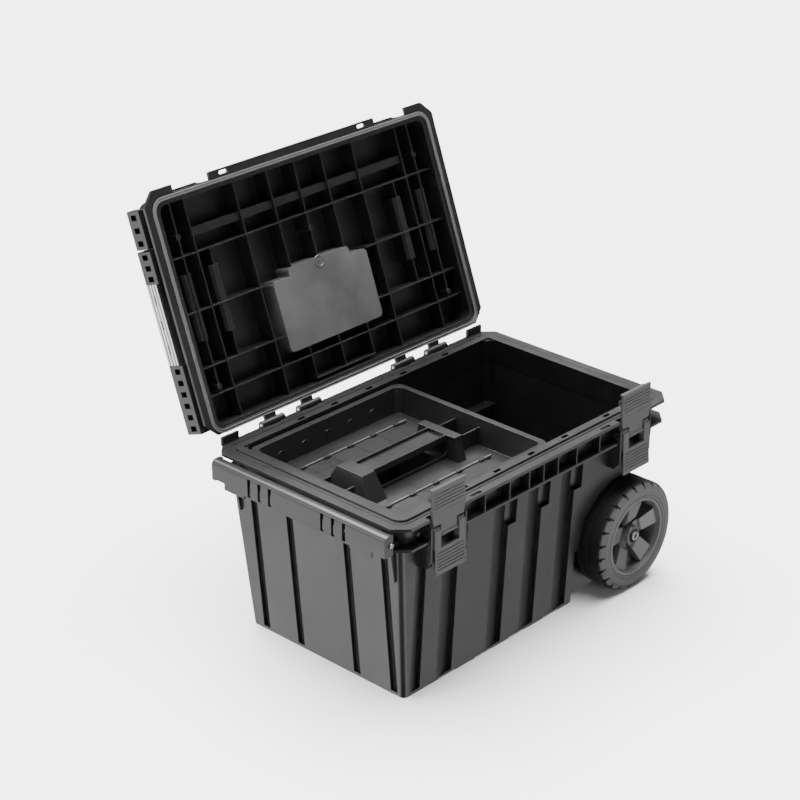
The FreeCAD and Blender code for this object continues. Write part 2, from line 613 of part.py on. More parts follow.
def make_lid():
    skirt = plate(-lid_wall_half_x, lid_wall_half_x, -lid_wall_half_y, lid_wall_half_y, 20.0, hinge_z,
                  lid_top_z)
    top_edges = [e for e in skirt.Edges if e.CenterOfMass.z > lid_top_z - 0.01]
    skirt = skirt.makeChamfer(6.0, top_edges)
    flange = chamfered(-lid_half_x, lid_half_x, lid_front_y, lid_back_y, rim_chamfer, hinge_z,
                       hinge_z + lid_flange)
    lid = skirt.fuse(flange)
    cavity = plate(-lid_cavity_half_x, lid_cavity_half_x, -lid_cavity_half_y, lid_cavity_half_y, 14.0,
                   hinge_z - 1, lid_top_z - lid_skin)
    ridge_room = plate(-rim_in_x - 1, rim_in_x + 1, -rim_in_y - 1, rim_in_y + 1, 17.0, hinge_z - 1,
                       rim_z + ridge_h + 0.6)
    lid = lid.cut([cavity, ridge_room, pan_outline(0, lid_rib_z, lid_top_z + 5)])
    ribs = []
    for x, s0, s1 in lid_long_ribs:
        for side in (-1, 1):
            ribs.append(box(side * x - lid_rib_t / 2, side * x + lid_rib_t / 2, lid_s(s1), lid_s(s0),
                            lid_rib_z, rib_hi))
    for s0, s1 in ((pan_tab_s, rib_end_s), (rib_start_s + 6, pan_s0)):
        ribs.append(box(-lid_rib_t / 2, lid_rib_t / 2, lid_s(s1), lid_s(s0), lid_rib_z, rib_hi))
    reach = lid_cavity_half_x + 1
    for s, x0 in ((cross_s[2], 0), (pan_s1, pan_x), (cross_s[1], pan_x), (cross_s[0], 0)):
        for side in (-1, 1):
            lo, hi = sorted((side * x0, side * reach))
            ribs.append(box(lo, hi, lid_s(s) - lid_rib_t / 2, lid_s(s) + lid_rib_t / 2, lid_rib_z, rib_hi))
    ribs.append(box(-221 * unit_x, 221 * unit_x, lid_s(boss_s[1] + 6), lid_s(boss_s[1] - 6),
                    lid_rib_z + 5, rib_hi))
    ribs.append(box(-pan_tab_x, pan_tab_x, lid_s(rib_start_s + 9), lid_s(rib_start_s + 6.5),
                    lid_rib_z - 1, rib_hi))
    ribs = [r.cut(pan_outline(0, lid_rib_z - 9, lid_top_z + 9)) for r in ribs]
    bosses = [(x, s) for x in (-boss_x, boss_x) for s in boss_s] + [(0, 248 * unit_y)]
    for x, s in bosses:
        ribs.append(rod((x, lid_s(s), lid_rib_z - 1), (0, 0, 1), 4.5, rib_hi - lid_rib_z + 1))
    hollows = []
    for side in (-1, 1):
        for x in slot_x:
            y0 = lid_s(slot_s[1])
            y1 = lid_s(slot_s[0])
            w = slot_half
            z0 = lid_rib_z + 2.5
            pts = [(-w, rib_hi), (-w, z0 + 4.5), (4 - w, z0), (w - 4, z0), (w, z0 + 4.5), (w, rib_hi)]
            ribs.append(prism([(side * x + a, y0, z) for a, z in pts], (0, y1 - y0, 0)))
            w = slot_half - slot_wall
            z0 += slot_wall
            pts = [(-w, lid_top_z + 1), (-w, z0 + 4), (3.5 - w, z0), (w - 3.5, z0), (w, z0 + 4),
                   (w, lid_top_z + 1)]
            hollows.append(prism([(side * x + a, y0 + slot_wall, z) for a, z in pts],
                                 (0, y1 - y0 - 2 * slot_wall, 0)))
        x = side * slot_x[0]
        for s0, s1 in ((cross_s[1], slot_s[0] + 1), (slot_s[1] - 1, cross_s[2])):
            ribs.append(box(x - lid_rib_t / 2, x + lid_rib_t / 2, lid_s(s1), lid_s(s0), lid_rib_z + 4,
                            rib_hi))
    ears = []
    for x in ear_groups:
        ear = rod((x - lid_ear_half, hinge_y, hinge_z), (1, 0, 0), hinge_r, 2 * lid_ear_half)
        ear = ear.fuse(box(x - lid_ear_half, x + lid_ear_half, lid_back_y - 4, hinge_y, hinge_z + 0.5,
                           hinge_z + hinge_r - 0.5))
        ears.append(ear)
    catches = []
    for s in (-1, 1):
        root = -lid_wall_half_y + 4.5
        catches.append(box(s * latch_x - 30, s * latch_x + 30, catch_y, root, catch_z, catch_z + 6))
        for k in (-26, 0, 26):
            catches.append(box(s * latch_x + k - 1.2, s * latch_x + k + 1.2, catch_y + 1, root,
                               rim_z + 10, catch_z + 1))
    lid = lid.fuse(ribs + ears + catches).cut(hollows)
    trims = [frame_ring(seal_half_x + gasket_w / 2, seal_half_y + gasket_w / 2, gasket_w, 23.0,
                        hinge_z - 1, hinge_z + 2.5)]
    for s in (-1, 1):
        trims.append(latch_notch(s, rim_z - 9, catch_z - 2))
    for x in (-tongue_x, tongue_x):
        trims.append(plate(x - 9, x + 9, -rim_half_y + 1.5, -rim_half_y + 7, 2.4, hinge_z - 1, hinge_z + 9))
    for x in ear_groups:
        trims.append(rod((x - lid_ear_half - 1, hinge_y, hinge_z), (1, 0, 0), hinge_pin_r + run_clear,
                         2 * lid_ear_half + 2))
    return lid.cut(trims).removeSplitter()


save("lid_shell", opened(make_lid()))
save("lid_gasket", opened(frame_ring(seal_half_x + gasket_w / 2 - 0.1, seal_half_y + gasket_w / 2 - 0.1,
                                     gasket_w - 0.2, 22.9,
                                     rim_z + 0.3, hinge_z + 2.5)))
pan = pan_outline(-0.05, lid_rib_z, lid_top_z - 1).cut(pan_outline(-pan_t, lid_rib_z + pan_t, lid_top_z + 1))
save("lid_well_pan", opened(pan))

pin_len = 2 * ear_half
save("hinge_pins", *[rod((x - ear_half, hinge_y, hinge_z), (1, 0, 0), hinge_pin_r,
                         pin_len) for x in ear_groups])

# aluminium end rails and the moulded brackets that hold them
rail_y0 = -59.0 * unit_y
rail_y1 = 63.0 * unit_y
rail_z0 = lid_top_z - 26.0
rail_z1 = lid_top_z - 3.0
rail_x0 = lid_wall_half_x
rail_x1 = lid_wall_half_x + 17.0


def make_rail():
    rail = box(-rail_x1, -rail_x0, rail_y0, rail_y1, rail_z0, rail_z1)
    mid_z = (rail_z0 + rail_z1) / 2
    cuts = [box(-rail_x1 - 1, -rail_x1 + 1.2, rail_y0 - 1, rail_y1 + 1, mid_z + k - 1,
                mid_z + k + 1) for k in (-6.5, 0, 6.5)]
    cuts.append(box(-rail_x1 + 3, -rail_x0 - 3, rail_y0 - 1, rail_y1 + 1, rail_z0 + 3, rail_z1 - 3))
    cuts += [box(-rail_x1 - 1, -rail_x1 + 4, y - 7, y + 7, mid_z - 1.5,
                 mid_z + 1.5) for y in (rail_y0 + 24, 2, rail_y1 - 24)]
    return rail.cut(cuts)


def make_brackets():
    out = []
    split = -108.5 * unit_y
    bracket_end = lid_wall_half_y - 5.5
    z_low = rim_z + 12
    for y0, y1, z0, x1 in ((-bracket_end, split - 1.5, z_low + 3, rail_x1 + 1),
                           (split + 1.5, rail_y0, z_low + 1, rail_x1 + 2),
                           (rail_y1, bracket_end, z_low, rail_x1 + 2)):
        block = box(-x1, -rail_x0, y0, y1, z0, lid_top_z - 1)
        outer = [e for e in block.Edges if e.CenterOfMass.x < -x1 + 0.01]
        corner = [e for e in outer if abs(e.CenterOfMass.z - lid_top_z + 1) < 0.01]
        block = block.makeFillet(7.0, corner)
        count = int((y1 - y0) // 16)
        for k in range(count):
            y = y0 + (y1 - y0) * (k + 0.5) / count
            block = block.cut(box(-x1 - 1, -x1 + 6, y - 4, y + 4, z0 + 8, z0 + 20))
        out.append(block)
    return out


rail = make_rail()
brackets = make_brackets()
save("lid_rail_left", opened(rail))
save("lid_rail_right", opened(mirror_x(rail)))
save("rail_brackets_left", *[opened(b) for b in brackets])
save("rail_brackets_right", *[opened(mirror_x(b)) for b in brackets])


# ---- latches ------------------------------------------------------------------
def make_lever(x):
    py, pz = lever_pivot
    hy, hz = hook_pivot
    front = -rim_half_y - 5.5
    web_z = rim_z - 48.0
    arms = []
    for side in (-1, 1):
        lo, hi = sorted((x + side * 18.5, x + side * 31.0))
        arm = rod((lo, py, pz), (1, 0, 0), 5.0, hi - lo).fuse(box(lo, hi, front, py + 3.0, web_z - 1, pz))
        arms.append(arm)
    web = prism([(x - 31, front, web_z), (x - 31, front - 2.5, lever_end_z),
                 (x - 31, front + 1.5, lever_end_z),
                 (x - 31, front + 4.5, web_z)], (62, 0, 0))
    lever = arms[0].fuse([arms[1], web])
    cuts = [rod((x - 40, py, pz), (1, 0, 0), latch_pin_r + run_clear, 80),
            rod((x - 24, hy, hz), (1, 0, 0), latch_pin_r, 48)]
    for k in range(5):
        z = lever_end_z + 7 + 6.5 * k
        cuts.append(box(x - 26, x + 26, front - 4, front - 1.2, z, z + 2.2))
    return lever.cut(cuts)


def make_hook(x):
    hy, hz = hook_pivot
    front = -rim_half_y - 2.5
    back = front + latch_plate
    half = latch_half_w
    neck_z = rim_z - 13.0      # below this the plate narrows to its barrel
    outline = [(-half, hook_top_z), (half, hook_top_z), (half, rim_z + 6), (half - 2, neck_z),
               (16.5, neck_z), (16.5, hz - 4),
               (-16.5, hz - 4), (-16.5, neck_z), (2 - half, neck_z), (-half, rim_z + 6)]
    hook = prism([(x + a, front, z) for a, z in outline], (0, latch_plate, 0))
    barrel = rod((x - 16.5, hy, hz), (1, 0, 0), 4.2, 33)
    lip_z = hook_top_z - 7.0
    lip = prism([(x - 28, back - 1, lip_z), (x - 28, lip_y, lip_z + 1.5), (x - 28, lip_y, lip_z + 3.5),
                 (x - 28, back - 1, hook_top_z)],
                (56, 0, 0))
    hook = hook.fuse([barrel, lip])
    cuts = [rod((x - 20, hy, hz), (1, 0, 0), latch_pin_r + run_clear, 40)]
    for k in range(5):
        z = hook_top_z - 9 - 6.0 * k
        cuts.append(box(x - 30, x + 30, front - 1, front + 0.9, z, z + 2.0))
    return hook.cut(cuts)


for label, x in (("left", -latch_x), ("right", latch_x)):
    save("latch_lever_" + label, make_lever(x))
    save("latch_hook_" + label, make_hook(x))
    hy, hz = hook_pivot
    save("hook_pin_" + label, rod((x - 23.9, hy, hz), (1, 0, 0), latch_pin_r, 47.8))
    stubs = []
    for side in (-1, 1):
        lo, hi = sorted((x + side * 20.0, x + side * (latch_half_w + 0.6 + cheek_t)))
        stubs.append(rod((lo, lever_pivot[0], lever_pivot[1]), (1, 0, 0), latch_pin_r, hi - lo))
    save("latch_pins_" + label, *stubs)


# ---- pull bar -----------------------------------------------------------------
bar_slots = [y * unit_y for y in (94.0, 73.0, 52.0, -52.0, -73.0, -94.0)]


def make_bar():
    low_mid = rim_z - 42.0
    low_side = rim_z - 46.0
    low_end = rim_z - 36.0
    mid_y = 105.0 * unit_y
    side_y = 146.0 * unit_y
    levels = [(-mid_y, mid_y, low_mid), (-side_y, -mid_y, low_side), (mid_y, side_y, low_side),
              (-bar_half_y, -side_y, low_end),
              (side_y, bar_half_y, low_end)]
    face = [box(bar_out_x, bar_out_x + bar_skin, y0, y1, z, bar_top_z) for y0, y1, z in levels]
    top = box(bar_out_x, bar_in_x, -bar_half_y, bar_half_y, bar_top_z - bar_skin - 0.5, bar_top_z)
    cheeks = []
    for s in (-1, 1):
        y0, y1 = sorted((s * (lug_y1 + 0.4), s * bar_half_y))
        cheeks.append(box(bar_out_x, bar_axis_x + 4.8, y0, y1, bar_axis_z - 16, bar_top_z))
    bar = face[0].fuse(face[1:] + [top] + cheeks).removeSplitter()
    outer = [e for e in bar.Edges if abs(e.CenterOfMass.x - bar_out_x) < 0.01]
    corner = [e for e in outer if abs(e.CenterOfMass.z - bar_top_z) < 0.01]
    bar = bar.makeFillet(8.0, corner)
    cuts = []
    for y in bar_slots:
        cuts.append(box(bar_out_x - 2, bar_out_x + 8, y - 3, y + 3, low_mid + 2.5, bar_top_z - 5.5))
    for s in (-1, 1):
        cuts.append(rod((bar_axis_x, s * (lug_y0 - 8), bar_axis_z), (0, s, 0), bar_screw_r + run_clear, 40))
    return bar.cut(cuts)


save("pull_bar", make_bar())
screws = []
for s in (-1, 1):
    shank = rod((bar_axis_x, s * lug_y0, bar_axis_z), (0, s, 0), bar_screw_r, bar_half_y - lug_y0 + 1.5)
    head = rod((bar_axis_x, s * (bar_half_y + 0.3), bar_axis_z), (0, s, 0), 4.5, 1.6)
    screws.append(shank.fuse(head).cut(rod((bar_axis_x, s * (bar_half_y + 1.0), bar_axis_z), (0, s, 0),
                                           1.6, 3)))
save("pull_bar_screws", *screws)


# ---- tray ---------------------------------------------------------------------
pan_hx0 = tray_x0 + tray_step
pan_hx1 = tray_x1 - tray_step
pan_hy = tray_half_y - tray_step
tray_draft = 5.0
tray_floor_z = tray_rim_z - tray_depth
post_l_x = tray_x0 + 65.5  # middle of the grip's left post
post_r_x = tray_x1 - 72.0  # middle of the grip's right post
grip_half_y = 46.0         # half width of the posts at the tray's floor
# raised floor panels of the back and front bins
panel_y = [(grip_half_y + 1.5, 104.0 * unit_y), (-139.0 * unit_y, -68.0 * unit_y)]
panel_n = 5
panel_x0 = pan_hx0 + 14.0
panel_step = (pan_hx1 - 42.0 - panel_x0) / panel_n
panel_h = 3.0
dent_n = 5                 # half-moon grips on the tray's back wall
dent_r = 8.0


def make_tray():
    rim = plate(tray_x0, tray_x1, -tray_half_y, tray_half_y, 16.0, tray_ledge_z + tray_float, tray_rim_z)
    rim = rim.cut(plate(tray_x0 + 3, tray_x1 - 3, -tray_half_y + 3, tray_half_y - 3, 13.0, 200,
                        tray_rim_z - 3))
    low = (pan_hx0 + tray_draft, pan_hx1 - tray_draft, -pan_hy + tray_draft, pan_hy - tray_draft)
    body = drafted(low, (pan_hx0, pan_hx1, -pan_hy, pan_hy), 14.0, tray_floor_z, tray_rim_z - 1)
    tray = rim.fuse(body)
    t = tray_wall
    inner = drafted((low[0] + t, low[1] - t, low[2] + t, low[3] - t),
                    (pan_hx0 + t, pan_hx1 - t, -pan_hy + t, pan_hy - t), 12.0,
                    tray_floor_z + t, tray_rim_z + 0.5)
    tray = tray.cut(inner)
    rows = []
    z0 = tray_floor_z + t
    for y0, y1 in panel_y:
        for k in range(panel_n):
            x = panel_x0 + panel_step * k
            rows.append(box(x, x + panel_step - 1.0, y0, y1, z0 - 1, z0 + panel_h))
            rows.append(box(x + panel_step - 12, x + panel_step - 2, y1 - 4, y1 + 2.5, z0 - 1,
                            z0 + panel_h + 3.5))
    wall_y = pan_hy - t
    for k in range(dent_n):
        x = tray_x0 + 58.0 + 48.0 * k
        z = tray_rim_z - 26.0
        moon = rod((x, wall_y - 3.4, z), (0, 1, 0), dent_r,
                   6).common(box(x - dent_r, x + dent_r, 0, rim_half_y, z, rim_z))
        rows.append(moon)
    for s in (-1, 1):
        y0, y1 = sorted((s * 22.0, s * 24.2))
        rows.append(box(post_r_x + 14.5, pan_hx1 - 4, y0, y1, tray_floor_z + 1, tray_rim_z - 14))
        rows.append(box(pan_hx0 + 1, post_l_x - 23.3, y0, y1, tray_floor_z + 1, tray_rim_z - 12))
    grip_slot = box(post_l_x + 24, post_r_x - 15, -18.5, 18.5, tray_floor_z - 1, z0 + 1)
    return tray.fuse(rows).cut(grip_slot).removeSplitter()


def make_grip():
    """The saddle-shaped carrying grip along the tray's middle: two posts and a hollow bridge."""
    z0 = tray_floor_z + tray_wall
    top = tray_rim_z - 2.0
    a = post_l_x
    b = post_r_x
    y = grip_half_y
    post_l = drafted((a - 23, a + 23, -y, y), (a - 13, a + 17, -27, 27), 5.0, z0, top)
    post_r = drafted((b - 14, b + 14, -y, y), (b - 10, b + 10, -36, 36), 3.0, z0, top - 1)
    bridge = drafted((a + 9, b - 2, -19, 19), (a + 9, b - 2, -17, 17), 3.0, top - 10, top - 2)
    bridge = bridge.cut(box(a + 19, b - 12, -13, 13, top - 6.5, top + 1))
    trough_f = box(a + 15, b - 6, -22.2, -20, z0, z0 + 6)
    trough_b = box(a + 15, b - 6, 20, 22.2, z0, z0 + 6)
    hollow_l = drafted((a - 20, a + 20, 3 - y, y - 3), (a - 10, a + 14, -24, 24), 4.0, z0 - 1, top - 3)
    grip = post_l.cut(hollow_l).fuse([post_r, bridge, trough_f, trough_b])
    return grip.removeSplitter()


save("tray_pan", make_tray())
save("tray_grip", make_grip())


# ---- small round-headed screws beside the latches ------------------------------
neck_face_y = base_half_y + draft_y * low_flange_z
stud_x = latch_x + latch_half_w + 0.6 + cheek_t + 5.0
studs = [rod((s * stud_x, -neck_face_y - 0.02, rim_z - 26), (0, -1, 0), 3.2, 2.2) for s in (-1, 1)]
save("rim_studs", *studs)
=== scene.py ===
import math

import bmesh
import bpy
from mathutils import Matrix, Vector
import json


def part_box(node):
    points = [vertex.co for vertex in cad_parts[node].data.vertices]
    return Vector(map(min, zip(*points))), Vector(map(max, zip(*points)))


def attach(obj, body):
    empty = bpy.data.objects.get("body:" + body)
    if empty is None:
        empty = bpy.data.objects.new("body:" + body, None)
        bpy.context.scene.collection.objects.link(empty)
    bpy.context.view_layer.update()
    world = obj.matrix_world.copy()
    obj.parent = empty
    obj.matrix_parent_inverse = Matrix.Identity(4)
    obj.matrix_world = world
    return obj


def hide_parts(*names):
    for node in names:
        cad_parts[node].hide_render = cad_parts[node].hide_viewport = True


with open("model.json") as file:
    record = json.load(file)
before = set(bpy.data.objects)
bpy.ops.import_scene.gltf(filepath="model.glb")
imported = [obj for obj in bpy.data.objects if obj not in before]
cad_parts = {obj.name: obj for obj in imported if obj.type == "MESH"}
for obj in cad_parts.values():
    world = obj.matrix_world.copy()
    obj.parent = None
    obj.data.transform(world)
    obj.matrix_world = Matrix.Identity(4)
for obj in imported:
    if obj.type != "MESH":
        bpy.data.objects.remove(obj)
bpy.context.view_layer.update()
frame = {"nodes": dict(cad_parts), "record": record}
nodes = frame["nodes"]

# ---- Studio -------------------------------------------------------------------
# The chest stands on a plain pale floor under a broad overhead light. Two soft panels and two low
# reflector boards put sheen on its walls. The camera looks down on the left front corner.
camera_data = bpy.data.cameras.new("camera")
camera_data.lens = 100.7
camera_data.sensor_width = 36.0
camera = bpy.data.objects.new("camera", camera_data)
camera.location = (-2.2179, -1.9872, 1.7375)
aim = Vector((-0.1034, 0.0, 0.3646)) - camera.location
camera.rotation_euler = aim.to_track_quat("-Z", "Y").to_euler()
bpy.context.scene.collection.objects.link(camera)
bpy.context.scene.camera = camera


def fill(tree, slot, value):
    """Sets a node's input, or links it when the value comes from another node."""
    if isinstance(value, Value):
        tree.links.new(value.socket, slot)
    else:
        slot.default_value = value


class Value:
    """A shader socket that can be used in Python arithmetic."""

    def __init__(self, tree, socket):
        self.tree = tree
        self.socket = socket

    def math(self, operation, first, second):
        node = self.tree.nodes.new("ShaderNodeMath")
        node.operation = operation
        fill(self.tree, node.inputs[0], first)
        fill(self.tree, node.inputs[1], second)
        return Value(self.tree, node.outputs[0])

    def __add__(self, other):
        return self.math("ADD", self, other)

    def __radd__(self, other):
        return self.math("ADD", other, self)

    def __sub__(self, other):
        return self.math("SUBTRACT", self, other)

    def __rsub__(self, other):
        return self.math("SUBTRACT", other, self)

    def __mul__(self, other):
        return self.math("MULTIPLY", self, other)

    def __rmul__(self, other):
        return self.math("MULTIPLY", other, self)


class Nodes:
    """Adds nodes to one shader tree."""

    def __init__(self, tree):
        self.tree = tree

    def node(self, kind, settings=None, output=0, **sockets):
        """Adds a node of any kind; settings come first, then socket values or links."""
        node = self.tree.nodes.new(kind)
        for key, value in (settings or {}).items():
            setattr(node, key, value)
        for name, value in sockets.items():
            numbered = name[0] == "i" and name[1:].isdigit()
            fill(self.tree, node.inputs[int(name[1:]) if numbered else name.replace("_", " ")], value)
        return Value(self.tree, node.outputs[output])

    def ramp(self, value, low, high, top=1.0):
        """0 below low, and the top value above high."""
        return self.node("ShaderNodeMapRange", Value=value, i1=low, i2=high, i4=top)


class Finish(Nodes):
    """A material under construction: its shader's own sockets and any nodes that vary them."""

    def __init__(self, name, **fixed):
        self.material = bpy.data.materials.new(name)
        self.material.use_nodes = True
        super().__init__(self.material.node_tree)
        self.shader = self.tree.nodes["Principled BSDF"]
        self.feed(**fixed)

    def feed(self, **sockets):
        for name, value in sockets.items():
            fill(self.tree, self.shader.inputs[name.replace("_", " ")], value)

    def noise(self, scale, detail=2.0, rough=0.5, stretch=(1.0, 1.0, 1.0)):
        """A noise pattern in the object's own coordinates, stretched along its axes."""
        coords = self.node("ShaderNodeTexCoord", output="Object")
        place = self.node("ShaderNodeMapping", Vector=coords, Scale=stretch)
        return self.node("ShaderNodeTexNoise", Vector=place, Scale=scale, Detail=detail, Roughness=rough)

    def blend(self, mask, first, second):
        return self.node("ShaderNodeMix", {"data_type": "RGBA"}, output=2, i0=mask, i6=first, i7=second)

    def rounded(self, radius):
        """A normal that reads every edge as slightly rounded."""
        return self.node("ShaderNodeBevel", {"samples": 4}, Radius=radius)


def grey(value, warmth=0.0):
    """A near-neutral colour; warmth lifts red and lowers blue."""
    return (value * (1.0 + warmth), value, value * (1.0 - warmth), 1.0)


world = bpy.data.worlds.new("pale_room")
world.use_nodes = True
background = world.node_tree.nodes["Background"]
background.inputs["Color"].default_value = grey(1.0)
room = Nodes(world.node_tree)
looking = room.node("ShaderNodeTexCoord", output="Generated")
room_light = 0.14
board_edge = 0.80  # cosines of the angles at which a board fades in and is full
board_full = 0.97
# (direction, strength) of the boards, behind on the left and in front on the right
for board, strength in (((-0.60, 0.62, -0.50), 2.8), ((0.30, -0.84, -0.45), 2.6)):
    nearness = room.node("ShaderNodeVectorMath", {"operation": "DOT_PRODUCT"}, output="Value",
                         i0=looking, i1=board)
    room_light = room_light + room.ramp(nearness, board_edge, board_full, strength)
fill(room.tree, background.inputs["Strength"], room_light)
bpy.context.scene.world = world


def studio_light(name, kind, energy, place, target, size):
    """A soft light that faces the target; size is a panel's side or the overhead light's angle."""
    data = bpy.data.lights.new(name, kind)
    data.energy = energy
    if kind == "SUN":
        data.angle = size
    else:
        data.size = size
    lamp = bpy.data.objects.new(name, data)
    lamp.location = place
    lamp.rotation_euler = (Vector(target) - Vector(place)).to_track_quat("-Z", "Y").to_euler()
    bpy.context.scene.collection.objects.link(lamp)


studio_light("overhead", "SUN", 17.0, (0.3, 0.8, 3.0), (0.0, 0.0, 0.0), 1.2)
studio_light("left", "AREA", 45.0, (-2.7, 1.6, 1.25), (-0.3, 0.0, 0.15), 1.5)
studio_light("front", "AREA", 12.0, (-0.7, -2.7, 1.00), (-0.1, -0.19, 0.15), 1.0)

floor_mesh = bmesh.new()
bmesh.ops.create_grid(floor_mesh, x_segments=1, y_segments=1, size=12.0)
floor_data = bpy.data.meshes.new("floor")
floor_mesh.to_mesh(floor_data)
floor_mesh.free()
floor = bpy.data.objects.new("floor", floor_data)
bpy.context.scene.collection.objects.link(floor)
floor_data.materials.append(Finish("pale_floor", Base_Color=grey(0.93), Roughness=0.9).material)
floor.visible_glossy = False  # keeps the floor's bright reflection off the dark walls


# ---- Tub ----------------------------------------------------------------------
# One large injection moulding in black polypropylene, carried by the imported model. Its faces have the
# fine spark-eroded grain of the tool, and the edges that hands and boots rub are polished and paler.
def moulded(name, dark, light, roughness, worn, sheen=0.5, grain=0.00005, edge=0.0009, dust=0.0):
    """Moulded plastic: grained, faintly mottled, paler and glossier along its rounded edges."""
    finish = Finish(name, Specular_IOR_Level=sheen, IOR=1.5)
    mottle = finish.noise(9.0, 3.0, 0.6)
    flow = finish.noise(2.5, 2.0, 0.5, (1.0, 1.0, 5.0))
    fine = finish.noise(1400.0, 2.0, 0.6)
    scuffs = finish.noise(70.0, 4.0, 0.65, (1.0, 1.0, 2.5))
    round_edge = finish.rounded(edge)
    flat = finish.node("ShaderNodeNewGeometry", output="Normal")
    same = finish.node("ShaderNodeVectorMath", {"operation": "DOT_PRODUCT"}, output="Value",
                       i0=round_edge, i1=flat)
    rubbed = finish.ramp(1.0 - same, 0.01, 0.22) * finish.ramp(scuffs, 0.35, 0.62)
    body = finish.blend(mottle * 0.6 + flow * 0.4, dark, light)
    body = finish.blend(rubbed * 0.75, body, worn)
    powder = finish.ramp(finish.noise(24.0, 5.0, 0.7), 0.5, 0.85)
    body = finish.blend(powder * dust, body, grey(0.16, 0.04))
    bump = finish.node("ShaderNodeBump", Strength=1.0, Distance=grain, Height=fine, Normal=round_edge)
    rough = roughness + (mottle - 0.5) * 0.2 + (fine - 0.5) * 0.1 - rubbed * 0.08
    finish.feed(Base_Color=body, Roughness=rough, Normal=bump)
    return finish.material


def dress(material, *names):
    """Gives carried-over CAD nodes their finish."""
    for name in names:
        nodes[name].data.materials.clear()
        nodes[name].data.materials.append(material)


black_plastic = moulded("black_moulding", grey(0.0050), grey(0.0095), 0.36, grey(0.045), dust=0.05)
dress(black_plastic, "tub")


# ---- Pins and axle --------------------------------------------------------------
# Drawn steel wire and rod, cut to length and pressed in. The washers in the wheel wells and the pins
# of the hinge and latches are zinc-plated and bright; the axle rod is blackened.
def metal(name, tint, roughness, lines):
    """Drawn or extruded metal with fine lines along its length."""
    finish = Finish(name, Metallic=1.0)
    streak = finish.noise(60.0, 3.0, 0.6, lines)
    cloud = finish.noise(14.0, 3.0, 0.6)
    bump = finish.node("ShaderNodeBump", Strength=0.6, Distance=0.00003, Height=streak,
                       Normal=finish.rounded(0.0005))
    finish.feed(Base_Color=finish.blend(cloud, tint, grey(tint[1] * 0.82)),
                Roughness=roughness + (streak - 0.5) * 0.2 + (cloud - 0.5) * 0.15, Normal=bump)
    return finish.material


along_x = (0.5, 20.0, 20.0)  # how a pattern is stretched to run in lines along an axis
along_y = (20.0, 0.5, 20.0)
steel = metal("zinc_plate", grey(0.42), 0.34, along_x)
blackened = metal("blackened_steel", grey(0.06), 0.4, along_y)
dress(blackened, "axle")
dress(steel, "axle_washers", "hinge_pins", "latch_pins_left", "latch_pins_right", "hook_pin_left",
      "hook_pin_right")


# ---- Wheels ---------------------------------------------------------------------
# Two moulded wheels turn on the axle: a deep drum with five broad raised pads and open windows
# between them, and a hub with a turned ring. Each is held by a pressed cap on the axle's end.
wheel_low, wheel_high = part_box("wheel_front")
tyre_low, tyre_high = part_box("tyre_front")
axle_x = (tyre_low[0] + tyre_high[0]) / 2
axle_z = (tyre_low[2] + tyre_high[2]) / 2
tyre_face = -tyre_low[1]
tyre_width = tyre_high[1] - tyre_low[1]


def finished(name, mesh, material, body, replaces=(), bevel=None, segments=2):
    """Turns a bmesh into a piece: clean normals, material, rounded edges, and its place in the frame."""
    bmesh.ops.remove_doubles(mesh, verts=mesh.verts, dist=1e-6)
    bmesh.ops.recalc_face_normals(mesh, faces=mesh.faces)
    data = bpy.data.meshes.new(name)
    mesh.to_mesh(data)
    mesh.free()
    data.materials.append(material)
    piece = bpy.data.objects.new(name, data)
    bpy.context.scene.collection.objects.link(piece)
    if bevel:
        rounding = piece.modifiers.new("rounded_edges", "BEVEL")
        rounding.width = bevel
        rounding.segments = segments
        rounding.limit_method = "ANGLE"
        rounding.angle_limit = math.radians(35)
        rounding.use_clamp_overlap = True
    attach(piece, body)
    if replaces:
        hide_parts(*replaces)


def turned(mesh, outline, centre, axis, steps):
    """Turns a closed outline of points all the way round an axis."""
    start = [mesh.verts.new(point) for point in outline]
    section = mesh.faces.new(start)
    geometry = start + list(section.edges)
    bmesh.ops.delete(mesh, geom=[section], context="FACES_ONLY")
    bmesh.ops.spin(mesh, geom=geometry, cent=centre, axis=axis, angle=2 * math.pi, steps=steps,
                   use_merge=True)


def ring(mesh, profile, side, face_y, steps):
    """Turns a closed profile of (radius, depth behind the face) round the axle line."""
    outline = [(axle_x + r, side * (face_y - d), axle_z) for r, d in profile]
    turned(mesh, outline, (axle_x, 0.0, axle_z), (0.0, 1.0, 0.0), steps)


rim_r = (wheel_high[0] - wheel_low[0]) / 2 - 0.0001
wheel_back = 0.0568  # how far the drum and the hub reach behind the tyre's face
bore_r = 0.00606
drum = [(rim_r, 0.0016), (rim_r - 0.0007, 0.0010), (0.0594, 0.0010), (0.0584, 0.0020), (0.0568, 0.0100),
        (0.0568, wheel_back), (rim_r, wheel_back)]
hub = [(bore_r, 0.0125), (0.0108, 0.0125), (0.0112, 0.0076), (0.0118, 0.0070), (0.0130, 0.0070),
       (0.0137, 0.0076), (0.0150, 0.0108), (0.0158, 0.0560), (0.0158, wheel_back), (bore_r, wheel_back)]
pad_count = 5
first_pad = math.radians(18)
# (distance from the axle, half width, depth of the face) from the hub outwards
pad_rows = [(0.0145, 0.0092, 0.0205), (0.0215, 0.0108, 0.0175), (0.0250, 0.0118, 0.0135),
            (0.0515, 0.0146, 0.0062), (0.0575, 0.0152, 0.0082)]
pad_back = 0.0270


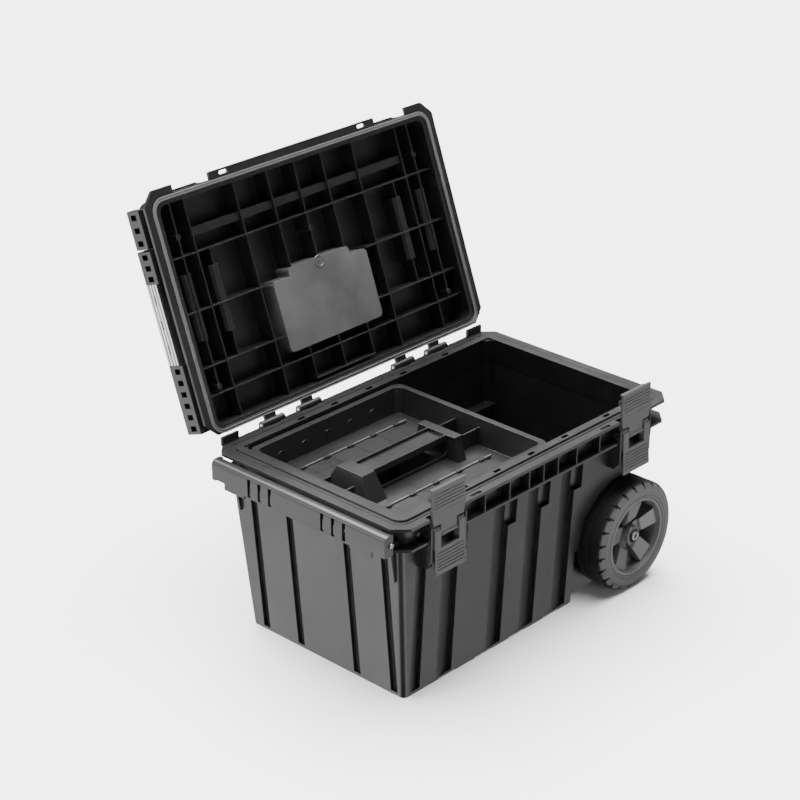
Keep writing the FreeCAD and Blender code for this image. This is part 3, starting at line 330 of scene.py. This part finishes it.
def pads(mesh, side):
    """Broad raised pads between the drum and the hub, each stepped down towards the hub."""
    centre = Vector((axle_x, 0.0, axle_z))
    last_row = len(pad_rows) - 1
    for i in range(pad_count):
        turn = first_pad + 2 * math.pi * i / pad_count
        out = Vector((math.cos(turn), 0.0, math.sin(turn)))
        across = Vector((-math.sin(turn), 0.0, math.cos(turn)))
        grid = bmesh.ops.create_grid(mesh, x_segments=1, y_segments=last_row, size=0.5)["verts"]
        for vert in grid:
            distance, half, depth = pad_rows[round((vert.co.y + 0.5) * last_row)]
            half = half if vert.co.x > 0 else -half
            vert.co = centre + out * distance + across * half + Vector((0.0, side * (tyre_face - depth), 0.0))
        faces = list({f for v in grid for f in v.link_faces})
        back = bmesh.ops.extrude_face_region(mesh, geom=faces)["geom"]
        for vert in (g for g in back if isinstance(g, bmesh.types.BMVert)):
            vert.co.y = side * (tyre_face - pad_back)


wheel_grey = moulded("wheel_moulding", grey(0.050), grey(0.072), 0.42, grey(0.15), edge=0.0007)
for label, side in (("front", -1), ("back", 1)):
    mesh = bmesh.new()
    ring(mesh, drum, side, tyre_face, 96)
    ring(mesh, hub, side, tyre_face, 64)
    pads(mesh, side)
    finished("wheel_" + label + "_moulding", mesh, wheel_grey, label + "_wheel",
             ("wheel_" + label,), bevel=0.0007)

cap_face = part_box("axle_caps")[1][1]
cap_bore = 0.0061
cap = [(cap_bore, 0.0110), (0.0078, 0.0110), (0.0076, 0.0042), (0.0068, 0.0032), (0.0056, 0.0028),
       (0.0046, 0.0031), (0.0042, 0.0039), (cap_bore, 0.0039)]
mesh = bmesh.new()
for side in (-1, 1):
    ring(mesh, cap, side, cap_face, 48)
finished("axle_cap_pressings", mesh, steel, "chest", ("axle_caps",))


# ---- Tyres ------------------------------------------------------------------------
# Solid black rubber moulded over the drums: a wide flat sidewall, a chamfered shoulder that is cut
# into twenty-four lugs by stepped slots, and a tread with two shallow channels.
tread_r = (tyre_high[0] - tyre_low[0]) / 2
tyre_bore = rim_r + 0.00015
channel_r = tread_r - 0.0016
sidewall_r = tread_r - 0.0108
tyre_profile = [(tyre_bore, 0.0008), (0.0640, 0.0), (0.0662, 0.0), (0.0668, 0.0007), (0.0678, 0.0007),
                (0.0684, 0.0), (sidewall_r, 0.0), (sidewall_r + 0.0012, 0.0006),
                (sidewall_r + 0.0055, 0.0030), (tread_r - 0.0012, 0.0062), (tread_r, 0.0092),
                (tread_r, 0.0200), (tread_r, 0.0265), (channel_r, 0.0275), (channel_r, 0.0295),
                (tread_r, 0.0305), (tread_r, 0.0405), (channel_r, 0.0415), (channel_r, 0.0435),
                (tread_r, 0.0445), (tread_r, 0.0490), (tread_r - 0.0060, tyre_width),
                (tyre_bore, tyre_width)]
lugs = 24
steps_per_lug = 8
# each slot steps sideways on its way back: (depth that a stretch reaches, steps of the lug it takes)
slot_runs = [(0.0028, (2,)), (0.0060, (2, 3)), (0.0091, (3,))]
slot_depth = 0.0030


def in_slot(face, side):
    """Whether a face of the turned tyre lies in one of the stepped slots between the lugs."""
    at = face.calc_center_median()
    if math.hypot(at.x - axle_x, at.z - axle_z) < sidewall_r + 0.0013:
        return False
    turn = math.atan2(at.z - axle_z, at.x - axle_x) % (2 * math.pi)
    step = int(turn / (2 * math.pi) * lugs * steps_per_lug) % steps_per_lug
    depth = tyre_face - side * at.y
    return next((step in steps for reach, steps in slot_runs if depth < reach), False)


def rubber(name, pale, tread_shade=None):
    """Matt scuffed rubber. The optional third argument paints the middle of the running face darker as
    painted shade: its grey and the distance from the middle where that shade ends.
    """
    finish = Finish(name, Specular_IOR_Level=0.4, IOR=1.5)
    bloom = finish.noise(18.0, 4.0, 0.65)
    fine = finish.noise(900.0, 2.0, 0.6)
    scuffs = finish.ramp(finish.noise(120.0, 5.0, 0.7), 0.5, 0.8)
    bump = finish.node("ShaderNodeBump", Strength=1.0, Distance=0.0001, Height=fine,
                       Normal=finish.rounded(0.0007))
    body = finish.blend(bloom, grey(pale), grey(pale * 1.4))
    body = finish.blend(scuffs * 0.3, body, grey(pale * 2.2))
    if tread_shade:
        dark, end = tread_shade
        # the middle of the tread is painted a much darker grey: painted shade for the shadow between the tub
        # and the wheel
        coords = finish.node("ShaderNodeTexCoord", output="Object")
        across = finish.node("ShaderNodeSeparateXYZ", output=1, Vector=coords)
        outer = finish.node("ShaderNodeMath", {"operation": "ABSOLUTE"}, i0=across)
        middle = finish.blend(scuffs * 0.3, grey(dark), grey(dark * 2.5))
        body = finish.blend(finish.ramp(outer, end - 0.002, end), middle, body)
    finish.feed(Base_Color=body, Roughness=0.74 + (bloom - 0.5) * 0.2, Normal=bump)
    return finish.material


# the tyres' darker tread is painted shade, not a darker rubber
tyre_rubber = rubber("tyre_rubber", 0.042, (0.005, tyre_face - 0.0045))
for label, side in (("front", -1), ("back", 1)):
    mesh = bmesh.new()
    ring(mesh, tyre_profile, side, tyre_face, lugs * steps_per_lug)
    bmesh.ops.recalc_face_normals(mesh, faces=mesh.faces)
    slots = [f for f in mesh.faces if in_slot(f, side)]
    bmesh.ops.inset_region(mesh, faces=slots, thickness=0.0003, depth=-slot_depth, use_boundary=True,
                           use_even_offset=True)
    finished("tyre_" + label + "_rubber", mesh, tyre_rubber, label + "_wheel",
             ("tyre_" + label,))


# ---- Lid ----------------------------------------------------------------------------
# The lid is one moulding like the tub, ribbed inside. A rubber seal with two lips is pressed into a
# groove round its flange, and a shallow well with a smooth face is moulded in the middle of its top.
dress(black_plastic, "lid_shell", "rail_brackets_left", "rail_brackets_right")
joints = {joint["name"]: joint for joint in frame["record"]["behaviour"]["joints"]}
hinge = joints["lid_hinge"]
hinge_at = Vector(hinge["pos_m"])
open_angle = math.radians(hinge["range_deg"][1])
lid_opened = (Matrix.Translation(hinge_at) @ Matrix.Rotation(-open_angle, 4, "X")
              @ Matrix.Translation(-hinge_at))
# the hinge line runs just outside the rim and just above it
rim_half_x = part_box("tub")[1][0]
rim_half_y = hinge["pos_m"][1] - 0.0005
rim_top = hinge["pos_m"][2] - 0.0020


def framed(mesh, outline, half_x, half_y, radius, height):
    """Carries a closed outline of (out, up) round a rectangle with rounded corners."""
    front = radius - half_y
    section = mesh.faces.new([mesh.verts.new((half_x + o, front, height + u)) for o, u in outline])
    corner_x = half_x - radius
    corner_y = half_y - radius
    runs = [((0, 2 * corner_y, 0), (corner_x, corner_y)), ((-2 * corner_x, 0, 0), (-corner_x, corner_y)),
            ((0, -2 * corner_y, 0), (-corner_x, -corner_y)), ((2 * corner_x, 0, 0), (corner_x, -corner_y))]
    for run, (turn_x, turn_y) in runs:
        moved = bmesh.ops.extrude_face_region(mesh, geom=[section])["geom"]
        section = next(g for g in moved if isinstance(g, bmesh.types.BMFace))
        bmesh.ops.translate(mesh, verts=section.verts[:], vec=run)
        corner = bmesh.ops.spin(mesh, geom=section.verts[:] + section.edges[:] + [section],
                                cent=(turn_x, turn_y, 0.0), axis=(0.0, 0.0, 1.0), angle=math.pi / 2, steps=8)
        section = next(g for g in corner["geom_last"] if isinstance(g, bmesh.types.BMFace))
    # the last section meets the first, and the sections left inside the loop are taken out
    bmesh.ops.delete(mesh, geom=[f for f in mesh.faces if len(f.verts) == len(outline)], context="FACES_ONLY")
    bmesh.ops.remove_doubles(mesh, verts=mesh.verts, dist=1e-6)


seal_lips = [(-0.0029, 0.0042), (-0.0029, 0.0010), (-0.0024, 0.0001), (-0.0016, 0.0001), (-0.0010, 0.0012),
             (0.0010, 0.0012), (0.0016, 0.0001), (0.0024, 0.0001), (0.0029, 0.0010), (0.0029, 0.0042)]
seal_inset = 0.014  # from the rim's edge to the middle of the seal
seal_corner_r = 0.020
seal_gap = 0.0003
mesh = bmesh.new()
framed(mesh, seal_lips, rim_half_x - seal_inset, rim_half_y - seal_inset, seal_corner_r, rim_top + seal_gap)
bmesh.ops.transform(mesh, matrix=lid_opened, verts=mesh.verts)
finished("lid_seal_lips", mesh, rubber("seal_rubber", 0.075), "lid", ("lid_gasket",))


def flowed(name):
    """The well's smooth face: the same plastic, glossier, with the cloudy flow marks of its gate."""
    finish = Finish(name, Specular_IOR_Level=0.5, IOR=1.5)
    flow = finish.noise(7.0, 4.0, 0.6, (1.0, 1.6, 1.0))
    cloud = finish.noise(16.0, 3.0, 0.55)
    fine = finish.noise(1400.0, 2.0, 0.6)
    bump = finish.node("ShaderNodeBump", Strength=1.0, Distance=0.00003, Height=fine,
                       Normal=finish.rounded(0.0012))
    body = finish.blend(finish.ramp(flow, 0.3, 0.7), grey(0.048), grey(0.080))
    body = finish.blend(finish.ramp(cloud, 0.4, 0.75) * 0.6, body, grey(0.112))
    finish.feed(Base_Color=body, Roughness=0.34 + (flow - 0.5) * 0.2, Normal=bump)
    return finish.material


well_plastic = flowed("well_moulding")
dress(well_plastic, "lid_well_pan")

# the moulding gate left a raised ring round a small nub near the well's edge
well_face = rim_top + 0.0130
gate = Vector((0.0, hinge_at.y - 0.196, well_face))
mesh = bmesh.new()
for radius, thick in ((0.0085, 0.0014), (0.0019, 0.0009)):
    seat = [(-thick, 0.0003), (-thick, -0.0001), (-thick * 0.3, -0.0011),
            (thick * 0.3, -0.0011), (thick, -0.0001), (thick, 0.0003)]
    turned(mesh, [gate + Vector((radius + out, 0.0, up)) for out, up in seat], gate, (0.0, 0.0, 1.0), 40)
bmesh.ops.transform(mesh, matrix=lid_opened, verts=mesh.verts)
finished("lid_gate_mark", mesh, well_plastic, "lid")


# ---- Lid rails ------------------------------------------------------------------------
# A short aluminium extrusion along each end of the lid takes accessories; it is cut to length,
# punched with three slots and slid into its moulded brackets.
dress(metal("aluminium", grey(0.62), 0.38, along_y), "lid_rail_left", "lid_rail_right")


# ---- Latches ----------------------------------------------------------------------------
# Two draw latches in dark grey nylon. A lever with two arms and a ridged finger plate turns on pins in
# the rim's notch, and a broad ridged hook plate turns on the lever and pulls the lid down.
latch_grey = moulded("latch_moulding", grey(0.036, 0.02), grey(0.048, 0.02), 0.42, grey(0.12), sheen=0.2,
                     edge=0.0006)


def block(mesh, low, high):
    """A rectangular block from its lowest corner to its highest."""
    size = Vector(high) - Vector(low)
    middle = (Vector(high) + Vector(low)) / 2
    matrix = Matrix.Translation(middle) @ Matrix.Diagonal((*size, 1.0))
    return bmesh.ops.create_cube(mesh, size=1.0, matrix=matrix)["verts"]


def barrel(mesh, x0, x1, y, z, radius):
    """A round barrel along X."""
    matrix = Matrix.Translation(((x0 + x1) / 2, y, z)) @ Matrix.Rotation(math.pi / 2, 4, "Y")
    bmesh.ops.create_cone(mesh, cap_ends=True, segments=32, radius1=radius, radius2=radius, depth=x1 - x0,
                          matrix=matrix)


def ridged_plate(mesh, corners, thickness, grooves, depth, margin=0.0030):
    """A plate from its four front corners, with grooves across it that stop short of its sides."""
    low_left, low_right, high_right, high_left = [Vector(c) for c in corners]
    faces = [mesh.faces.new([mesh.verts.new(c) for c in (low_left, low_right, high_right, high_left)])]
    up = (high_left - low_left).normalized()
    out = (low_right - low_left).normalized().cross(up)

    def cut(at, normal):
        geometry = {g for f in faces for g in (f, *f.edges, *f.verts)}
        bmesh.ops.bisect_plane(mesh, geom=list(geometry), plane_co=at, plane_no=normal, dist=1e-7)
        return [f for f in mesh.faces if abs((f.calc_center_median() - low_left).dot(out)) < 1e-6
                and abs(f.normal.dot(out)) > 0.99]

    for x in (low_left.x + margin, low_right.x - margin):
        faces = cut(Vector((x, low_left.y, low_left.z)), Vector((1.0, 0.0, 0.0)))
    for groove in grooves:
        for level in groove:
            faces = cut(low_left + up * level, up)
    sunk = []
    for face in faces:
        at = face.calc_center_median()
        level = (at - low_left).dot(up)
        if any(a < level < b for a, b in grooves) and low_left.x + margin < at.x < low_right.x - margin:
            sunk.append(face)
    body = bmesh.ops.extrude_face_region(mesh, geom=faces, use_keep_orig=True)["geom"]
    moved = [g for g in body if isinstance(g, bmesh.types.BMVert)]
    bmesh.ops.translate(mesh, verts=moved, vec=-out * thickness)
    bmesh.ops.recalc_face_normals(mesh, faces=mesh.faces)
    for face in sunk:
        bmesh.ops.inset_individual(mesh, faces=[face], thickness=0.0002, depth=-depth, use_even_offset=True)


lever_half = 0.031
lever_lean = 0.0025     # how far the finger plate's foot stands out from its top
arm_in = 0.0185         # inner side of an arm, from the lever's middle
flange_wall = 0.0022    # thickness of the finger plate's side flanges
finger_grooves = [(0.0075 + 0.0050 * k, 0.0092 + 0.0050 * k) for k in range(6)]
hook_half = 0.033
hook_thick = 0.0045
hook_barrel_half = 0.0163
hook_taper = 0.0020     # how far the skirt's foot is drawn in at each side
curl_wall = 0.0026
for label in ("left", "right"):
    lever_low, lever_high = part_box("latch_lever_" + label)
    middle = (lever_low[0] + lever_high[0]) / 2
    pivot_y, pivot_z = joints["lever_" + label + "_hinge"]["pos_m"][1:]
    foot = lever_low[2]
    web_top = pivot_z - 0.028
    front = lever_low[1] + lever_lean
    mesh = bmesh.new()
    ridged_plate(mesh, [(middle - lever_half, front - lever_lean, foot),
                        (middle + lever_half, front - lever_lean, foot),
                        (middle + lever_half, front, web_top), (middle - lever_half, front, web_top)],
                 0.0042, finger_grooves, 0.0011)
    for hand in (-1, 1):
        x0, x1 = sorted((middle + hand * arm_in, middle + hand * lever_half))
        block(mesh, (x0, front, web_top - 0.0006), (x1, pivot_y + 0.0030, pivot_z))
        barrel(mesh, x0 + 0.0001, x1 - 0.0001, pivot_y, pivot_z, 0.0049)
        # the flange down the plate's outer side
        f0, f1 = (x0, x0 + flange_wall) if hand < 0 else (x1 - flange_wall, x1)
        block(mesh, (f0, front + 0.0002, foot + 0.010), (f1, front + 0.0060, web_top))
    finished("latch_lever_" + label + "_plate", mesh, latch_grey, "lever_" + label,
             ("latch_lever_" + label,), bevel=0.0005)

    hook_low, hook_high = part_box("latch_hook_" + label)
    pin_y, pin_z = joints["hook_" + label + "_hinge"]["pos_m"][1:]
    top = hook_high[2]
    plate_low = rim_top + 0.0060
    face_y = pin_y - 0.0020
    neck = rim_top - 0.0130
    tongue = hook_low[2] + 0.0035
    first_ridge = top - plate_low - 0.0075
    ridge_rows = [(first_ridge - 0.0052 * k - 0.0016, first_ridge - 0.0052 * k) for k in range(5)]
    mesh = bmesh.new()
    ridged_plate(mesh, [(middle - hook_half, face_y, plate_low), (middle + hook_half, face_y, plate_low),
                        (middle + hook_half, face_y, top), (middle - hook_half, face_y, top)],
                 hook_thick, ridge_rows, 0.0008)
    skirt = block(mesh, (middle - hook_half, face_y, neck),
                  (middle + hook_half, face_y + hook_thick, plate_low))
    for vert in skirt:
        if vert.co.z < neck + 0.001:
            vert.co.x += hook_taper if vert.co.x < middle else -hook_taper
    block(mesh, (middle - hook_barrel_half, face_y, tongue),
          (middle + hook_barrel_half, face_y + hook_thick, neck + 0.0004))
    barrel(mesh, middle - hook_barrel_half, middle + hook_barrel_half, pin_y, pin_z, 0.0041)
    # the hook's lip behind the top, and a curl at each end of it
    block(mesh, (middle - 0.028, face_y + hook_thick - 0.0005, top - 0.0070),
          (middle + 0.028, hook_high[1], top - 0.0030))
    for hand in (-1, 1):
        inner = middle + hand * (hook_half - 0.0022)
        outer = inner + hand * 0.0020
        centre = Vector((inner, face_y + hook_thick - 0.0006, top - 0.0150))
        curl = [(inner, 0.0030), (outer, 0.0030), (outer, 0.0030 + curl_wall), (inner, 0.0030 + curl_wall)]
        start = [mesh.verts.new((x, centre.y, centre.z - r)) for x, r in curl]
        section = mesh.faces.new(start)
        bmesh.ops.spin(mesh, geom=start + list(section.edges) + [section], cent=centre, axis=(1.0, 0.0, 0.0),
                       angle=math.pi, steps=14)
    finished("latch_hook_" + label + "_plate", mesh, latch_grey, "hook_" + label,
             ("latch_hook_" + label,), bevel=0.0005)

dress(latch_grey, "rim_studs")


# ---- Pull bar -----------------------------------------------------------------------------
# A moulded channel across the left end, hinged on two blackened rivets; it swings out and up as a
# handle. Each rivet shows a bright rolled collar on the bar's end cheek.
dress(black_plastic, "pull_bar")
dress(blackened, "pull_bar_screws")
rivet_low, rivet_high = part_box("pull_bar_screws")
rivet_x = (rivet_low[0] + rivet_high[0]) / 2
rivet_z = (rivet_low[2] + rivet_high[2]) / 2
cheek_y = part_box("pull_bar")[1][1]
head = rivet_high[1] - cheek_y
collar = [(0.0012, head), (0.0012, head + 0.0003), (0.0020, head + 0.0007), (0.0034, head + 0.0005),
          (0.0046, 0.0004), (0.0048, 0.0), (0.0046, 0.0), (0.0046, head)]
mesh = bmesh.new()
for side in (-1, 1):
    outline = [(rivet_x + r, side * (cheek_y + d), rivet_z) for r, d in collar]
    turned(mesh, outline, (rivet_x, 0.0, rivet_z), (0.0, 1.0, 0.0), 36)
finished("bar_rivet_collars", mesh, steel, "tow_bar")


# ---- Tray -------------------------------------------------------------------------------------
# The lift-out tray is a thin moulding in the same black plastic, smoother than the tub. Its saddle grip
# is moulded separately: two flared posts, a channelled bridge and side lips round the hand opening.
tray_plastic = moulded("tray_moulding", grey(0.0095), grey(0.0165), 0.3, grey(0.08), grain=0.00003)
dress(tray_plastic, "tray_pan")
tray_low, tray_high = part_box("tray_pan")
grip_low, grip_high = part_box("tray_grip")
floor_top = grip_low[2]
grip_top = grip_high[2]
foot_half = grip_high[1] - 0.0003
left_post = grip_low[0] + 0.023
right_post = grip_high[0] - 0.014


def post(mesh, x, foot_x, head_x, head_y, lean, top):
    """A flared post on the tray's floor: half sizes of its foot and head, and the head's lean along x."""
    for vert in block(mesh, (x - foot_x, -foot_half, floor_top), (x + foot_x, foot_half, top)):
        if vert.co.z > (floor_top + top) / 2:
            vert.co.x = x + lean + (head_x if vert.co.x > x else -head_x)
            vert.co.y = head_y if vert.co.y > 0 else -head_y


mesh = bmesh.new()
post(mesh, left_post, 0.0205, 0.0125, 0.0250, 0.0040, grip_top)
post(mesh, right_post, 0.0085, 0.0062, 0.0360, 0.0, grip_top - 0.0030)
block(mesh, (right_post - 0.0080, -0.0370, grip_top - 0.0034),
      (right_post + 0.0080, 0.0370, grip_top - 0.0010))
bridge_start = left_post + 0.010
bridge_end = right_post - 0.002
block(mesh, (bridge_start, -0.0175, grip_top - 0.0095), (bridge_end, 0.0175, grip_top - 0.0070))
opening_r = 0.0105      # corner radius of the hand opening
lip_y = 0.0210          # middle of the lip down each side of it
lip_half = 0.0010
lip_top = floor_top + 0.0060
corner_z = lip_top - 0.0002
quarter = [math.pi / 2 * k / 8 for k in range(9)]
for hand in (-1, 1):
    y0, y1 = sorted((hand * 0.0192, hand * 0.0165))
    block(mesh, (bridge_start, y0, grip_top - 0.0120), (bridge_end, y1, grip_top - 0.0020))
    y = hand * lip_y
    block(mesh, (left_post + 0.015, y - lip_half, floor_top), (right_post - 0.006, y + lip_half, lip_top))
    # rounded ends of the hand opening
    for end, way in ((left_post + 0.0185, 1), (right_post - 0.0072, -1)):
        corner = Vector((end, y, corner_z))
        arc = [corner + opening_r * Vector((way * (1 - math.cos(t)), 0.0, 1 - math.sin(t))) for t in quarter]
        edge = [mesh.verts.new(point) for point in [corner] + arc]
        face = mesh.faces.new(edge)
        solid = bmesh.ops.extrude_face_region(mesh, geom=[face], use_keep_orig=True)["geom"]
        moved = [g for g in solid if isinstance(g, bmesh.types.BMVert)]
        bmesh.ops.translate(mesh, verts=moved, vec=(0.0, hand * lip_half, 0.0))
        bmesh.ops.translate(mesh, verts=edge, vec=(0.0, -hand * lip_half, 0.0))
finished("tray_saddle_grip", mesh, tray_plastic, "tray", ("tray_grip",), bevel=0.0012,
         segments=3)

# thin upright strips along both rows of floor panels, in a paler plastic: painted highlight for the light
# their top faces catch
strip_plastic_painted_highlight = moulded("tray_strip_moulding", grey(0.045), grey(0.065), 0.34, grey(0.12), edge=0.0006)
strip_half = 0.0016
strip_top = floor_top + 0.0052
mesh = bmesh.new()
for y in (0.1045, -0.0675):
    block(mesh, (tray_low[0] + 0.014, y - strip_half, floor_top + 0.0001),
          (tray_high[0] - 0.034, y + strip_half, strip_top))
finished("tray_panel_strips", mesh, strip_plastic_painted_highlight, "tray", bevel=0.0004)
